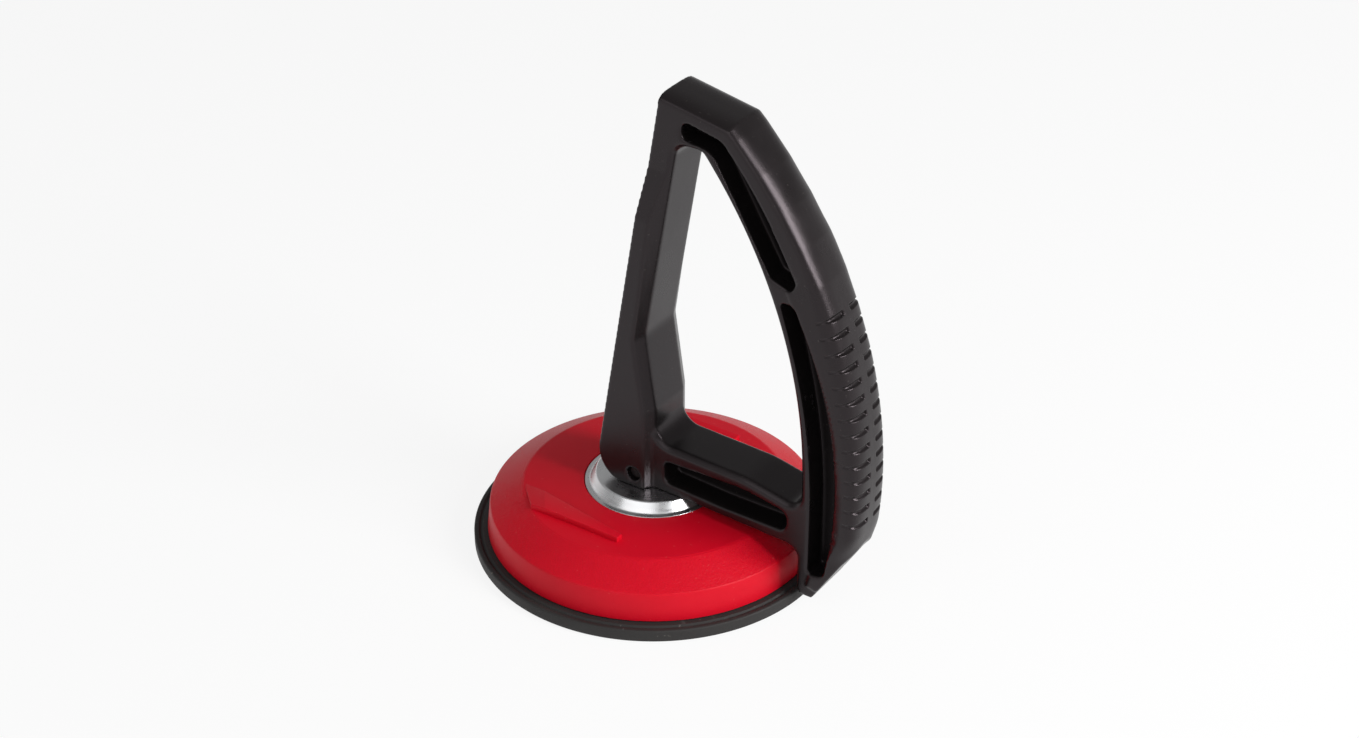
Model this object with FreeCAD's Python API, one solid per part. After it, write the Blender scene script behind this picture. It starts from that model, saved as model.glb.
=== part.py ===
import FreeCAD, Part
import math
import os

V = FreeCAD.Vector

# Suction lifter for floor tiles. Millimetres. The origin is the centre of the pad's sealing
# face, +Z is up, +X runs from the post along the arm towards the grip, and the pivot pin
# lies along Y. The handle is a one-piece cam lever: upright it is released, and tipped
# over towards -X it draws the middle of the rubber pad up by the cam's throw.

# ---------------------------------------------------------------- driving dimensions
# suction pad
PAD_RADIUS = 75.0
PAD_HEIGHT = 5.3
PAD_EDGE = 0.9
PAD_LIP_WIDTH = 14.0
PAD_HOLLOW = 1.2
PAD_SKIN = 1.8

# cover
RIM_RADIUS = 69.3
SHOULDER_RADIUS = 68.0
SHOULDER_Z = 17.7
CREASE_RADIUS = 53.7
CREASE_Z = 25.3
CROWN_Z = 27.0
COVER_WALL = 2.6
HUB_RADIUS = 13.5
HUB_BOTTOM_Z = 21.0
RIB_COUNT = 8
RIB_THICKNESS = 2.4
RIB_STEP = 0.3

# raised guide bars on the cover, one each side of the washer
BAR_FRONT_Y = 44.7
BAR_BACK_Y = 41.0
BAR_LENGTH_PLUS = 13.0
BAR_RISE = 2.9
BAR_TAIL_Y = 31.0

# thrust washer
WASHER_RADIUS = 28.6
WASHER_TOP_RADIUS = 23.8
WASHER_FOOT_RADIUS = 26.6
WASHER_TOP_Z = 31.1
WASHER_SHEET = 1.6

# guide bush
BUSH_WALL = 2.4
BUSH_FLANGE_RADIUS = 20.5

# pull stem, its insert plate, nut and pin
STEM_RADIUS = 7.0
PLATE_RADIUS = 22.0
PLATE_THICKNESS = 2.0
STUD_RADIUS = 4.0
STUD_REACH = 9.0
NUT_ACROSS_FLATS = 13.0
NUT_HEIGHT = 3.0
PIN_RADIUS = 3.0
PIN_LENGTH = 26.0
PIN_Z = 36.9
PIN_END_ROUND = 0.5

# running clearances
RUN_GAP = 0.3
SHAFT_GAP = 0.08
PIN_GAP = 0.05
SEAT_GAP = 0.2

# handle: post
POST_HALF = 15.3
NOSE_HALF = 9.7
POST_LEAN = 9.75
POST_BACK = 18.1
POST_DEPTH = 10.4
NOSE_DEPTH = 5.0
KNEE_Z = 101.0
KNEE_OUT = 2.8
SHANK_X = 8.0
SHANK_Z = 68.0
CHEEK_X = 5.0
FLAT_START_Z = 176.0
FLAT_RUNOUT = 21.0

# handle: frame (top bar, arm and the flat sides of the grip)
FRAME_HALF = 11.45
TOP_FALL = 10.85
TOP_SAG = 3.6
CREST_CENTRE = (-96.1, 60.8)
CREST_RADIUS = 198.5
MITRE_ANGLE = 45.7
HEEL_ANGLE = -7.2
RING_DEPTH = 10.0
GRIP_SAG = 10.4
GRIP_HALF = 12.0
SAG_START_ANGLE = 40.0
SAG_END_ANGLE = 17.0
CROWN_STEPS = 7
MITRE_SPARE = 3.0
CROWN_ROOT = 15.0
HEEL_TIP = (83.2, 7.1)
HEEL_SLOPE = 58.5
HEEL_REACH = 8.0
HEEL_ROUND = 3.0

# handle: finger opening
OPENING_TOP_Z = 188.7
GRIP_INNER_X = 76.3
GRIP_INNER_RADIUS = 204.0
GRIP_INNER_POINT = (59.3, 140.0)
ARCH_DROP = 5.0
ARCH_ROUND = 6.5
ARCH_END_ROUND = 4.0
ARM_ROOT_Z = 53.3
ARM_BEND = (52.0, 52.0)
ARM_TIP_Z = 47.0
ARM_ROOT_ROUND = 8.0
ARM_TIP_ROUND = 5.0
KNEE_ROUND = 12.0
OPENING_EDGE = 1.8
ARM_UNDER_Z = 29.0
ARM_UNDER_X = 24.0
ARM_FILLET = 6.0

# handle: lightening pockets, one set on each side of a middle web
WEB_HALF = 2.0
POCKET_DRAFT = 0.8
FLAT_TURN = 22.5
LONG_TURN = 2.5
LONG_RADIUS = 50.0

# handle: slot for the stem
SLOT_GAP = 0.3

# ---------------------------------------------------------------- worked out from them
LEAN = math.radians(POST_LEAN)
PIN = (0.0, PIN_Z)
TIP_ANGLE = math.pi / 2 + LEAN
BASE_DROP = PIN_Z - WASHER_TOP_Z
STEM_LIFT = POST_BACK + SEAT_GAP - BASE_DROP
LIFT_RATIO = STEM_LIFT / TIP_ANGLE
PLATE_Z = PAD_HOLLOW + PAD_SKIN
PLATE_TOP_Z = PLATE_Z + PLATE_THICKNESS
STEM_FOOT_Z = PLATE_TOP_Z + NUT_HEIGHT
BUSH_BORE = STEM_RADIUS + SHAFT_GAP
BUSH_RADIUS = BUSH_BORE + BUSH_WALL
WASHER_SEAT_Z = CROWN_Z - WASHER_SHEET - SEAT_GAP
WASHER_SEAT_RADIUS = WASHER_RADIUS + RUN_GAP
BUSH_TOP_Z = WASHER_TOP_Z - WASHER_SHEET
BACK_NORMAL = (-math.cos(LEAN), math.sin(LEAN))


# ---------------------------------------------------------------- small tools
def revolve(points):
    """Solid of revolution about Z from (radius, z) points."""
    wire = Part.makePolygon([V(r, 0, z) for r, z in points + points[:1]])
    return Part.Face(wire).revolve(V(0, 0, 0), V(0, 0, 1), 360)


def rounded(corners, y=0.0):
    """Closed wire in a plane of constant y; each corner is (x, z, radius)."""
    starts, ends, mids = [], [], []
    count = len(corners)
    for i in range(count):
        x, z, radius = corners[i]
        p = V(x, y, z)
        a = V(corners[i - 1][0], y, corners[i - 1][1])
        b = V(corners[(i + 1) % count][0], y, corners[(i + 1) % count][1])
        u = (a - p).normalize()
        w = (b - p).normalize()
        half = u.getAngle(w) / 2
        if radius <= 0 or half > math.pi / 2 - 1e-6:
            starts.append(p)
            ends.append(p)
            mids.append(None)
            continue
        reach = radius / math.tan(half)
        centre = p + (u + w).normalize() * (radius / math.sin(half))
        starts.append(p + u * reach)
        ends.append(p + w * reach)
        mids.append(centre + (p - centre).normalize() * radius)
    edges = []
    for i in range(count):
        if mids[i] is not None:
            edges.append(Part.Arc(starts[i], mids[i], ends[i]).toShape())
        nxt = starts[(i + 1) % count]
        if (nxt - ends[i]).Length > 1e-6:
            edges.append(Part.makeLine(ends[i], nxt))
    return Part.Wire(edges)


def faceted(corners, y):
    """Closed wire like rounded(), with each rounding stepped into short flats."""
    points = []
    count = len(corners)
    for i in range(count):
        x, z, radius = corners[i]
        p = V(x, y, z)
        u = (V(corners[i - 1][0], y, corners[i - 1][1]) - p).normalize()
        w = (V(corners[(i + 1) % count][0], y, corners[(i + 1) % count][1]) - p).normalize()
        half = u.getAngle(w) / 2
        centre = p + (u + w).normalize() * (radius / math.sin(half))
        start = p + u * (radius / math.tan(half)) - centre
        end = p + w * (radius / math.tan(half)) - centre
        turn = start.getAngle(end)
        steps = math.ceil(math.degrees(turn) / (FLAT_TURN if radius < LONG_RADIUS else LONG_TURN))
        for k in range(steps + 1):
            share = k / steps
            ray = start * math.sin((1 - share) * turn) + end * math.sin(share * turn)
            points.append(centre + ray / math.sin(turn))
    return Part.makePolygon(points + points[:1])


def slab(corners, half):
    """Outline in the XZ plane, thickened to half each side of it."""
    return Part.Face(rounded(corners, -half)).extrude(V(0, 2 * half, 0))


def both_sides(shape):
    """The shape together with its mirror image across the XZ plane."""
    return [shape, shape.mirror(V(0, 0, 0), V(0, 1, 0))]


def beyond(point, normal):
    """Large block on the far side of a plane across the XZ plane."""
    size = 2 * CREST_RADIUS
    n = V(normal[0], 0, normal[1]).normalize()
    t = V(-n.z, 0, n.x)
    p = V(point[0], -size / 2, point[1])
    ring = [p - t * size, p + t * size, p + t * size + n * size, p - t * size + n * size]
    return Part.Face(Part.makePolygon(ring + ring[:1])).extrude(V(0, size, 0))


def on_back(z, inward=0.0):
    """Point (x, z) on the post's back face, or on a plane that far in front of it."""
    reach = POST_BACK - inward
    x = (BACK_NORMAL[1] * (z - PIN_Z) - reach) / -BACK_NORMAL[0]
    return (x, z)


def on_crest(angle, depth=0.0):
    """Point (x, z) on the crest arc of the grip, or that depth below it."""
    a = math.radians(angle)
    radius = CREST_RADIUS - depth
    return (CREST_CENTRE[0] + radius * math.cos(a), CREST_CENTRE[1] + radius * math.sin(a))


def arc_corner(first, last, depth):
    """Corner (x, z, radius) whose rounding is the stretch of a crest-centred arc."""
    middle = (first + last) / 2
    radius = CREST_RADIUS - depth
    out = radius / math.cos(math.radians((first - last) / 2))
    x, z = on_crest(middle, CREST_RADIUS - out)
    return (x, z, radius - 0.5)


# ---------------------------------------------------------------- disc
def suction_pad():
    r, e = PAD_RADIUS, PAD_EDGE
    lip = r - PAD_LIP_WIDTH
    bed = PLATE_RADIUS + RUN_GAP
    return revolve([
        (0, PAD_HOLLOW), (lip - 2 * PAD_HOLLOW, PAD_HOLLOW), (lip, 0), (r, 0),
        (r, PAD_HEIGHT - e), (r - e, PAD_HEIGHT), (bed, PAD_HEIGHT), (bed, PLATE_Z), (0, PLATE_Z),
    ])


def cover_profile():
    w = COVER_WALL
    rim_z = PAD_HEIGHT + RUN_GAP
    seat = WASHER_SEAT_RADIUS
    chamfer = math.atan2(CREASE_Z - SHOULDER_Z, SHOULDER_RADIUS - CREASE_RADIUS)
    under = w / math.cos(chamfer)
    return [
        (SHOULDER_RADIUS - w, rim_z), (RIM_RADIUS, rim_z), (SHOULDER_RADIUS, SHOULDER_Z),
        (CREASE_RADIUS, CREASE_Z), (seat, CROWN_Z), (seat, WASHER_SEAT_Z),
        (BUSH_RADIUS, WASHER_SEAT_Z), (BUSH_RADIUS, HUB_BOTTOM_Z), (HUB_RADIUS, HUB_BOTTOM_Z),
        (HUB_RADIUS, WASHER_SEAT_Z - w), (CREASE_RADIUS, WASHER_SEAT_Z - w),
        (SHOULDER_RADIUS - w, SHOULDER_Z - under + w / 2),
    ]


def guide_bar():
    """Raised bar beside the washer: upright front wall, square end, tail fading out."""
    top = CREASE_Z + BAR_RISE
    tail = math.sqrt(CREASE_RADIUS ** 2 - BAR_FRONT_Y ** 2)
    tail_in = math.sqrt(CREASE_RADIUS ** 2 - BAR_TAIL_Y ** 2)
    foot = CREASE_Z - COVER_WALL / 2
    plan = [
        (BAR_LENGTH_PLUS, BAR_FRONT_Y), (-tail, BAR_FRONT_Y), (-tail_in, BAR_TAIL_Y),
        (BAR_LENGTH_PLUS, BAR_BACK_Y),
    ]
    ring = [V(x, y, foot) for x, y in plan]
    block = Part.Face(Part.makePolygon(ring + ring[:1])).extrude(V(0, 0, top - foot))
    slope_x = -tail_in + 1.0
    run = tail_in - tail + 6.0
    ramp = Part.makePolygon([
        V(slope_x - run, 0, CREASE_Z), V(slope_x, 0, CREASE_Z), V(slope_x + run, 0, top),
        V(slope_x + run, 0, top + 5), V(slope_x - run, 0, top + 5), V(slope_x - run, 0, CREASE_Z),
    ])
    fade = Part.Face(ramp).extrude(V(0, 2 * PAD_RADIUS, 0))
    lean = Part.makePolygon([
        V(-PAD_RADIUS, BAR_BACK_Y, top - 0.4), V(-PAD_RADIUS, BAR_TAIL_Y - 4, CREASE_Z + 1.0),
        V(-PAD_RADIUS, BAR_TAIL_Y - 4, top + 5), V(-PAD_RADIUS, BAR_FRONT_Y + 1, top + 5),
        V(-PAD_RADIUS, BAR_FRONT_Y + 1, top + 0.1), V(-PAD_RADIUS, BAR_BACK_Y, top - 0.4),
    ])
    shave = Part.Face(lean).extrude(V(2 * PAD_RADIUS, 0, 0))
    return block.cut([fade, shave])


def cover():
    shell = revolve(cover_profile())
    ribs = []
    under = WASHER_SEAT_Z - COVER_WALL
    root = COVER_WALL / 2
    side = [
        V(HUB_RADIUS - root, 0, HUB_BOTTOM_Z + RIB_STEP), V(HUB_RADIUS - root, 0, under + root),
        V(CREASE_RADIUS - root, 0, under + root), V(CREASE_RADIUS - root, 0, under),
        V(PLATE_RADIUS, 0, HUB_BOTTOM_Z + RIB_STEP),
    ]
    web = Part.Face(Part.makePolygon(side + side[:1])).extrude(V(0, RIB_THICKNESS, 0))
    web.translate(V(0, -RIB_THICKNESS / 2, 0))
    for i in range(RIB_COUNT):
        rib = web.copy()
        rib.rotate(V(0, 0, 0), V(0, 0, 1), (i + 0.5) * 360.0 / RIB_COUNT)
        ribs.append(rib)
    bars = both_sides(guide_bar())
    return shell.fuse(ribs + bars).removeSplitter()


def guide_bush():
    return revolve([
        (BUSH_BORE, HUB_BOTTOM_Z), (BUSH_RADIUS, HUB_BOTTOM_Z), (BUSH_RADIUS, WASHER_SEAT_Z),
        (BUSH_FLANGE_RADIUS, WASHER_SEAT_Z), (BUSH_FLANGE_RADIUS, BUSH_TOP_Z),
        (BUSH_BORE, BUSH_TOP_Z),
    ])


def thrust_washer():
    t = WASHER_SHEET
    bore = BUSH_BORE + RUN_GAP
    return revolve([
        (bore, BUSH_TOP_Z), (bore, WASHER_TOP_Z), (WASHER_TOP_RADIUS, WASHER_TOP_Z),
        (WASHER_FOOT_RADIUS, WASHER_SEAT_Z + t), (WASHER_RADIUS, WASHER_SEAT_Z + t),
        (WASHER_RADIUS, WASHER_SEAT_Z), (WASHER_TOP_RADIUS - t, WASHER_SEAT_Z),
        (WASHER_TOP_RADIUS - t, BUSH_TOP_Z),
    ])


# ---------------------------------------------------------------- pull train
def pull_stem():
    top = PIN_Z + STEM_RADIUS
    rod = Part.makeCylinder(STEM_RADIUS, top - STEM_FOOT_Z, V(0, 0, STEM_FOOT_Z))
    eye = Part.makeCylinder(STEM_RADIUS, 4 * STEM_RADIUS, V(0, -2 * STEM_RADIUS, PIN_Z), V(0, 1, 0))
    shank = Part.makeBox(
        2 * STEM_RADIUS, 4 * STEM_RADIUS, PIN_Z - STEM_FOOT_Z,
        V(-STEM_RADIUS, -2 * STEM_RADIUS, STEM_FOOT_Z),
    )
    rod = rod.common(eye.fuse(shank))
    cross = Part.makeCylinder(PIN_RADIUS, 4 * STEM_RADIUS, V(0, -2 * STEM_RADIUS, PIN_Z), V(0, 1, 0))
    socket = Part.makeCylinder(STUD_RADIUS, STUD_REACH, V(0, 0, STEM_FOOT_Z))
    return rod.cut([cross, socket])


def insert_plate():
    plate = Part.makeCylinder(PLATE_RADIUS, PLATE_THICKNESS, V(0, 0, PLATE_Z))
    stud = Part.makeCylinder(
        STUD_RADIUS, NUT_HEIGHT + STUD_REACH, V(0, 0, PLATE_TOP_Z)
    )
    return plate.fuse(stud).removeSplitter()


def lock_nut():
    corner = NUT_ACROSS_FLATS / math.sqrt(3)
    ring = []
    for i in range(7):
        a = math.radians(60 * i)
        ring.append(V(corner * math.cos(a), corner * math.sin(a), PLATE_TOP_Z))
    nut = Part.Face(Part.makePolygon(ring)).extrude(V(0, 0, NUT_HEIGHT))
    return nut.cut(Part.makeCylinder(STUD_RADIUS, NUT_HEIGHT, V(0, 0, PLATE_TOP_Z)))


def pivot_pin():
    pin = Part.makeCylinder(PIN_RADIUS, PIN_LENGTH, V(0, -PIN_LENGTH / 2, PIN_Z), V(0, 1, 0))
    ends = [e for e in pin.Edges if e.Closed]
    return pin.makeChamfer(PIN_END_ROUND, ends)


# ---------------------------------------------------------------- handle
def post():
    """Wide post with sloped front corners, standing on the washer."""
    base = WASHER_TOP_Z
    top = OPENING_TOP_Z
    knee = on_back(KNEE_Z, POST_DEPTH)
    face = [
        on_back(base), on_back(top), on_back(top, POST_DEPTH), knee,
        (SHANK_X, SHANK_Z), (SHANK_X, base),
    ]
    side = [
        on_back(base), on_back(top), on_back(top, POST_DEPTH - NOSE_DEPTH),
        (knee[0] - KNEE_OUT, knee[1] - 1.5), (CHEEK_X, SHANK_Z), (CHEEK_X, base),
    ]
    core = slab([(x, z, 0) for x, z in face], NOSE_HALF)
    inner = rounded([(x, z, 0) for x, z in face], NOSE_HALF)
    outer = rounded([(x, z, 0) for x, z in side], POST_HALF)
    flank = Part.makeLoft([inner, outer], True, True)
    return core.fuse(both_sides(flank)).removeSplitter()


def side_flats():
    """Machined flats that thin the top of the post to the width of the frame."""
    far = 3 * POST_HALF
    roof = OPENING_TOP_Z + far
    foot = FLAT_START_Z - FLAT_RUNOUT
    corners = [
        V(-far, POST_HALF, foot), V(-far, FRAME_HALF, FLAT_START_Z), V(-far, FRAME_HALF, roof),
        V(-far, far, roof), V(-far, far, foot), V(-far, POST_HALF, foot),
    ]
    return both_sides(Part.Face(Part.makePolygon(corners)).extrude(V(4 * far, 0, 0)))


def grip_inner():
    """Corners of the opening's round side: an arc off the upright wall through one point."""
    x, z = GRIP_INNER_POINT
    start_z = z - GRIP_INNER_RADIUS * math.sin(math.acos(1 - (GRIP_INNER_X - x) / GRIP_INNER_RADIUS))
    turn = math.asin((OPENING_TOP_Z - ARCH_DROP - start_z) / GRIP_INNER_RADIUS)
    bend_z = start_z + GRIP_INNER_RADIUS * math.tan(turn / 2)
    end_x = GRIP_INNER_X - GRIP_INNER_RADIUS * (1 - math.cos(turn))
    arch_x = end_x - ARCH_DROP * math.tan(turn)
    return [
        (arch_x, OPENING_TOP_Z, ARCH_END_ROUND), (GRIP_INNER_X, bend_z, GRIP_INNER_RADIUS),
    ]


def frame_plate():
    """Flat-sided frame: top bar, arm, grip web and heel, with the finger opening."""
    edge = TOP_SAG + 1.0
    mitre = on_crest(MITRE_ANGLE)
    fall = math.radians(TOP_FALL)
    below = (mitre[0] - edge * math.sin(fall), mitre[1] - edge * math.cos(fall))
    left = on_back(below[1] + (below[0] - on_back(below[1])[0]) * math.tan(fall))
    near = (below[0] - edge, below[1] + edge * math.tan(fall))
    last = HEEL_ANGLE - HEEL_REACH + 1.5
    outline = [
        on_back(WASHER_TOP_Z) + (0,), left + (0,), near + (2.0,),
        arc_corner(MITRE_ANGLE - 2.0, last, RING_DEPTH), on_crest(last, RING_DEPTH) + (0,),
        (HEEL_TIP[0] + 1.0, HEEL_TIP[1], 0), (GRIP_INNER_X, HEEL_TIP[1], HEEL_ROUND),
        (GRIP_INNER_X, ARM_UNDER_Z, ARM_FILLET), (ARM_UNDER_X, WASHER_TOP_Z, 20.0),
    ]
    plate = slab(outline, FRAME_HALF)
    knee = on_back(KNEE_Z, POST_DEPTH)
    arch = on_back(OPENING_TOP_Z, POST_DEPTH)
    opening = [arch + (ARCH_ROUND,)] + grip_inner() + [
        (GRIP_INNER_X, ARM_TIP_Z, ARM_TIP_ROUND), ARM_BEND + (40.0,),
        (SHANK_X, ARM_ROOT_Z, ARM_ROOT_ROUND), (SHANK_X, SHANK_Z, 10.0), knee + (KNEE_ROUND,),
    ]
    hole = slab(opening, 2 * FRAME_HALF)
    plate = plate.cut(hole)
    lip = [e for e in plate.Edges if on_opening(e, hole)]
    return plate.makeChamfer(OPENING_EDGE, lip)


def on_opening(edge, hole):
    """True for an edge where the opening's wall meets a flat side of the frame."""
    ends = [v.Point for v in edge.Vertexes]
    flat = all(abs(abs(p.y) - FRAME_HALF) < 1e-4 for p in ends)
    middle = edge.valueAt((edge.FirstParameter + edge.LastParameter) / 2)
    wall = hole.Shells[0].distToShape(Part.Vertex(middle))[0] < 1e-4
    return flat and abs(abs(middle.y) - FRAME_HALF) < 1e-4 and wall


def ease(value, start, end):
    """Smooth step from 0 at start to 1 at end."""
    t = min(max((value - start) / (end - start), 0.0), 1.0)
    return t * t * (3 - 2 * t)


def crown_section(angle):
    """Section of the grip's outer band on a radius of the crest arc."""
    swell = ease(angle, SAG_START_ANGLE, SAG_END_ANGLE)
    depth = TOP_SAG + swell * (GRIP_SAG - TOP_SAG)
    half = FRAME_HALF + swell * (GRIP_HALF - FRAME_HALF)
    side = on_crest(angle, depth)
    crest = on_crest(angle)
    root = on_crest(angle, CROWN_ROOT)
    a = V(side[0], half, side[1])
    b = V(side[0], -half, side[1])
    c = V(root[0], -half, root[1])
    d = V(root[0], half, root[1])
    arc = Part.Arc(a, V(crest[0], 0, crest[1]), b).toShape()
    return Part.Wire([arc, Part.makeLine(b, c), Part.makeLine(c, d), Part.makeLine(d, a)])


def grip_crown():
    """Rounded outer band of the grip: one section swept down to the heel, and above it a
    band that flattens towards the mitre."""
    first = MITRE_ANGLE + MITRE_SPARE
    step = (first - SAG_END_ANGLE) / CROWN_STEPS
    sections = [crown_section(first - i * step) for i in range(CROWN_STEPS + 1)]
    upper = Part.makeLoft(sections, True, True)
    centre = V(CREST_CENTRE[0], 0, CREST_CENTRE[1])
    turn = SAG_END_ANGLE - HEEL_ANGLE + HEEL_REACH
    lower = Part.Face(crown_section(SAG_END_ANGLE)).revolve(centre, V(0, 1, 0), turn)
    return [upper, lower]


def top_crown():
    """Rounded top bar, square across to the post's back face."""
    fall = math.radians(TOP_FALL)
    along = V(-math.cos(fall), 0, math.sin(fall))
    up = V(math.sin(fall), 0, math.cos(fall))
    m = on_crest(MITRE_ANGLE)
    start = V(m[0], 0, m[1]) - along * 20
    side = V(0, FRAME_HALF, 0)
    a = start + side - up * TOP_SAG
    b = start - side - up * TOP_SAG
    c = b - up * 6
    d = a - up * 6
    arc = Part.Arc(a, start, b).toShape()
    wire = Part.Wire([arc, Part.makeLine(b, c), Part.makeLine(c, d), Part.makeLine(d, a)])
    return Part.Face(wire).extrude(along * 80)


def mitre_normal():
    """Direction across the mitre between the top bar and the grip."""
    fall = math.radians(TOP_FALL)
    turn = math.radians(MITRE_ANGLE)
    x = math.cos(fall) + math.sin(turn)
    z = -math.sin(fall) - math.cos(turn)
    return (x, z)


def inset(corners, step):
    """The same outline with every side moved inwards by step; corners run clockwise."""
    moved = []
    count = len(corners)
    for i in range(count):
        x0, z0, _ = corners[i - 1]
        x1, z1, radius = corners[i]
        x2, z2, _ = corners[(i + 1) % count]
        a = V(x1 - x0, 0, z1 - z0).normalize()
        b = V(x2 - x1, 0, z2 - z1).normalize()
        na = V(a.z, 0, -a.x)
        nb = V(b.z, 0, -b.x)
        shift = (na + nb) * (step / (1 + na.dot(nb)))
        concave = a.cross(b).y < 0
        moved.append((x1 + shift.x, z1 + shift.z, radius + step if concave else max(radius - step, 0.4)))
    return moved


def pocket(corners):
    """Drafted pocket sunk from a flat side down to the middle web."""
    floor = faceted(inset(corners, POCKET_DRAFT), WEB_HALF)
    mouth = faceted(corners, FRAME_HALF)
    past = Part.Face(mouth).extrude(V(0, POST_HALF, 0))
    return [Part.makeLoft([floor, mouth], True, True), past]


def pockets():
    top = [
        (20.6, 199.6, 3.2), (38.6, 195.6, 6.0), (57.1, 174.0, 200.0), (72.2, 146.2, 3.0),
        (69.8, 142.4, 2.0), (60.4, 145.6, 3.0), (33.8, 190.2, 8.0), (20.6, 191.6, 3.2),
    ]
    grip = [
        (64.6, 136.9, 1.8), (71.6, 136.6, 3.5), (97.3, 80.6, 165.0), (88.3, 19.6, 3.0),
        (80.9, 17.8, 2.0), (80.9, 85.2, 250.0),
    ]
    arm = [
        (12.6, 45.8, 3.0), (50.0, 46.9, 30.0), (70.6, 43.4, 4.0), (70.6, 34.2, 3.5),
        (40.0, 34.2, 20.0), (12.6, 35.6, 3.0),
    ]
    tools = []
    for outline in (top, grip, arm):
        for tool in pocket(outline):
            tools += both_sides(tool)
    return tools


def stem_slot():
    """Room for the stem, from straight down to square out of the back face."""
    radius = STEM_RADIUS + SLOT_GAP
    half = STEM_RADIUS + SLOT_GAP
    reach = 60.0
    n = BACK_NORMAL
    right = (PIN[0] + radius, PIN[1])
    above = (PIN[0] + n[1] * radius, PIN[1] - n[0] * radius)
    corners = [
        (right[0], PIN_Z - reach, 0), (right[0], PIN_Z, 0), (PIN[0], PIN_Z, 0), above + (0,),
        (above[0] + n[0] * reach, above[1] + n[1] * reach, 0), (-reach, PIN_Z - reach, 0),
    ]
    eye = Part.makeCylinder(radius, 2 * half, V(0, -half, PIN_Z), V(0, 1, 0))
    return slab(corners, half).fuse(eye)


def cam_relief():
    """Block outside the cam nose, which keeps contact while the stem lifts evenly."""
    steps = 10
    rub = BASE_DROP - 0.15
    curve = []
    for i in range(steps + 1):
        a = TIP_ANGLE * i / steps
        h = rub + LIFT_RATIO * a
        x = -h * math.sin(a) - LIFT_RATIO * math.cos(a)
        z = -h * math.cos(a) + LIFT_RATIO * math.sin(a)
        curve.append(V(x, -POST_HALF - 1, PIN_Z + z))
    nose = Part.BSplineCurve()
    nose.interpolate(curve)
    n = BACK_NORMAL
    first, last = curve[0], curve[-1]
    out = last + V(n[0], 0, n[1]) * 20
    low = V(out.x, out.y, first.z - 20)
    under = V(first.x, first.y, low.z)
    rest = Part.makePolygon([last, out, low, under, first])
    ring = Part.Wire([nose.toShape()] + rest.Edges)
    return Part.Face(ring).extrude(V(0, 2 * POST_HALF + 2, 0))


def handle():
    plate = frame_plate()
    upper, lower = grip_crown()
    bar = top_crown()
    mitre = on_crest(MITRE_ANGLE)
    n = mitre_normal()
    bar = bar.cut(beyond(mitre, n))
    upper = upper.cut(beyond(mitre, (-n[0], -n[1])))
    bar = bar.cut(beyond(on_back(PIN_Z), BACK_NORMAL))
    stem = post().cut(side_flats())
    body = plate.fuse([upper, lower, bar, stem])
    slope = math.radians(HEEL_SLOPE)
    body = body.cut(beyond(HEEL_TIP, (math.sin(slope), -math.cos(slope))))
    body = body.cut(pockets())
    bore = Part.makeCylinder(
        PIN_RADIUS + PIN_GAP, 4 * POST_HALF, V(0, -2 * POST_HALF, PIN_Z), V(0, 1, 0)
    )
    body = body.cut([stem_slot(), cam_relief(), bore])
    return body.removeSplitter()


NODES = {
    "suction_pad": suction_pad,
    "insert_plate": insert_plate,
    "lock_nut": lock_nut,
    "pull_stem": pull_stem,
    "pivot_pin": pivot_pin,
    "cover": cover,
    "guide_bush": guide_bush,
    "thrust_washer": thrust_washer,
    "handle": handle,
}

os.makedirs("parts", exist_ok=True)
for name, make in NODES.items():
    shape = make()
    shape.exportStep(os.path.join("parts", name + ".step"))
    box = shape.BoundBox
    print(name, len(shape.Solids), shape.isValid(), round(shape.Volume / 1000, 2), "cm3",
          [round(v, 1) for v in (box.XMin, box.YMin, box.ZMin, box.XMax, box.YMax, box.ZMax)])
print("lift", round(STEM_LIFT, 3), "tip", round(math.degrees(TIP_ANGLE), 3), "ratio", round(LIFT_RATIO / 1000, 7))
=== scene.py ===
# %% [markdown]
# This notebook dresses a suction lifter for floor tiles. A rubber disc under a red cover
# grips the tile, and a black cam lever stands on the cover. Upright the lever is released,
# and tipped over it pulls the middle of the rubber up. The solids come ready made from the
# workshop, so the first cell loads them as a fixed frame.

# %% load the solids
import math

import bmesh
import bpy
import numpy as np
from mathutils import Matrix, Vector


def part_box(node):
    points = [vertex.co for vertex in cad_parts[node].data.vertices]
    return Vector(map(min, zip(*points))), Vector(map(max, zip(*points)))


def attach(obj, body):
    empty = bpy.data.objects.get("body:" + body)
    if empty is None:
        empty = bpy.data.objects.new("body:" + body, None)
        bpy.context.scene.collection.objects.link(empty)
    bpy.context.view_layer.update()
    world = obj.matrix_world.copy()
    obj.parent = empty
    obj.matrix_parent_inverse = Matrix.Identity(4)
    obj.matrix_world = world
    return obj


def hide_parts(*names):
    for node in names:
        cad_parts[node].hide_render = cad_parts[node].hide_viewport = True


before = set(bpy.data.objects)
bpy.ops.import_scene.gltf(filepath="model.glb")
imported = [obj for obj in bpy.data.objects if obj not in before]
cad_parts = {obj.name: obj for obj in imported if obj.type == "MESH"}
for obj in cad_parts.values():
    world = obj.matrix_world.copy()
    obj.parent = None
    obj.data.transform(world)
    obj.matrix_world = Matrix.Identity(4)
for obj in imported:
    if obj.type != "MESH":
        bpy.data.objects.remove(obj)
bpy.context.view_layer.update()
print("pieces:", ", ".join(sorted(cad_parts)))

# %% [markdown]
# Sizes in this notebook are written in millimetres and multiplied by MM, because Blender
# counts in metres. The pad's radius and height and the height of the washer are read from
# the boxes of the loaded solids. The other sizes are the solids' own, written out again.

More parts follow.
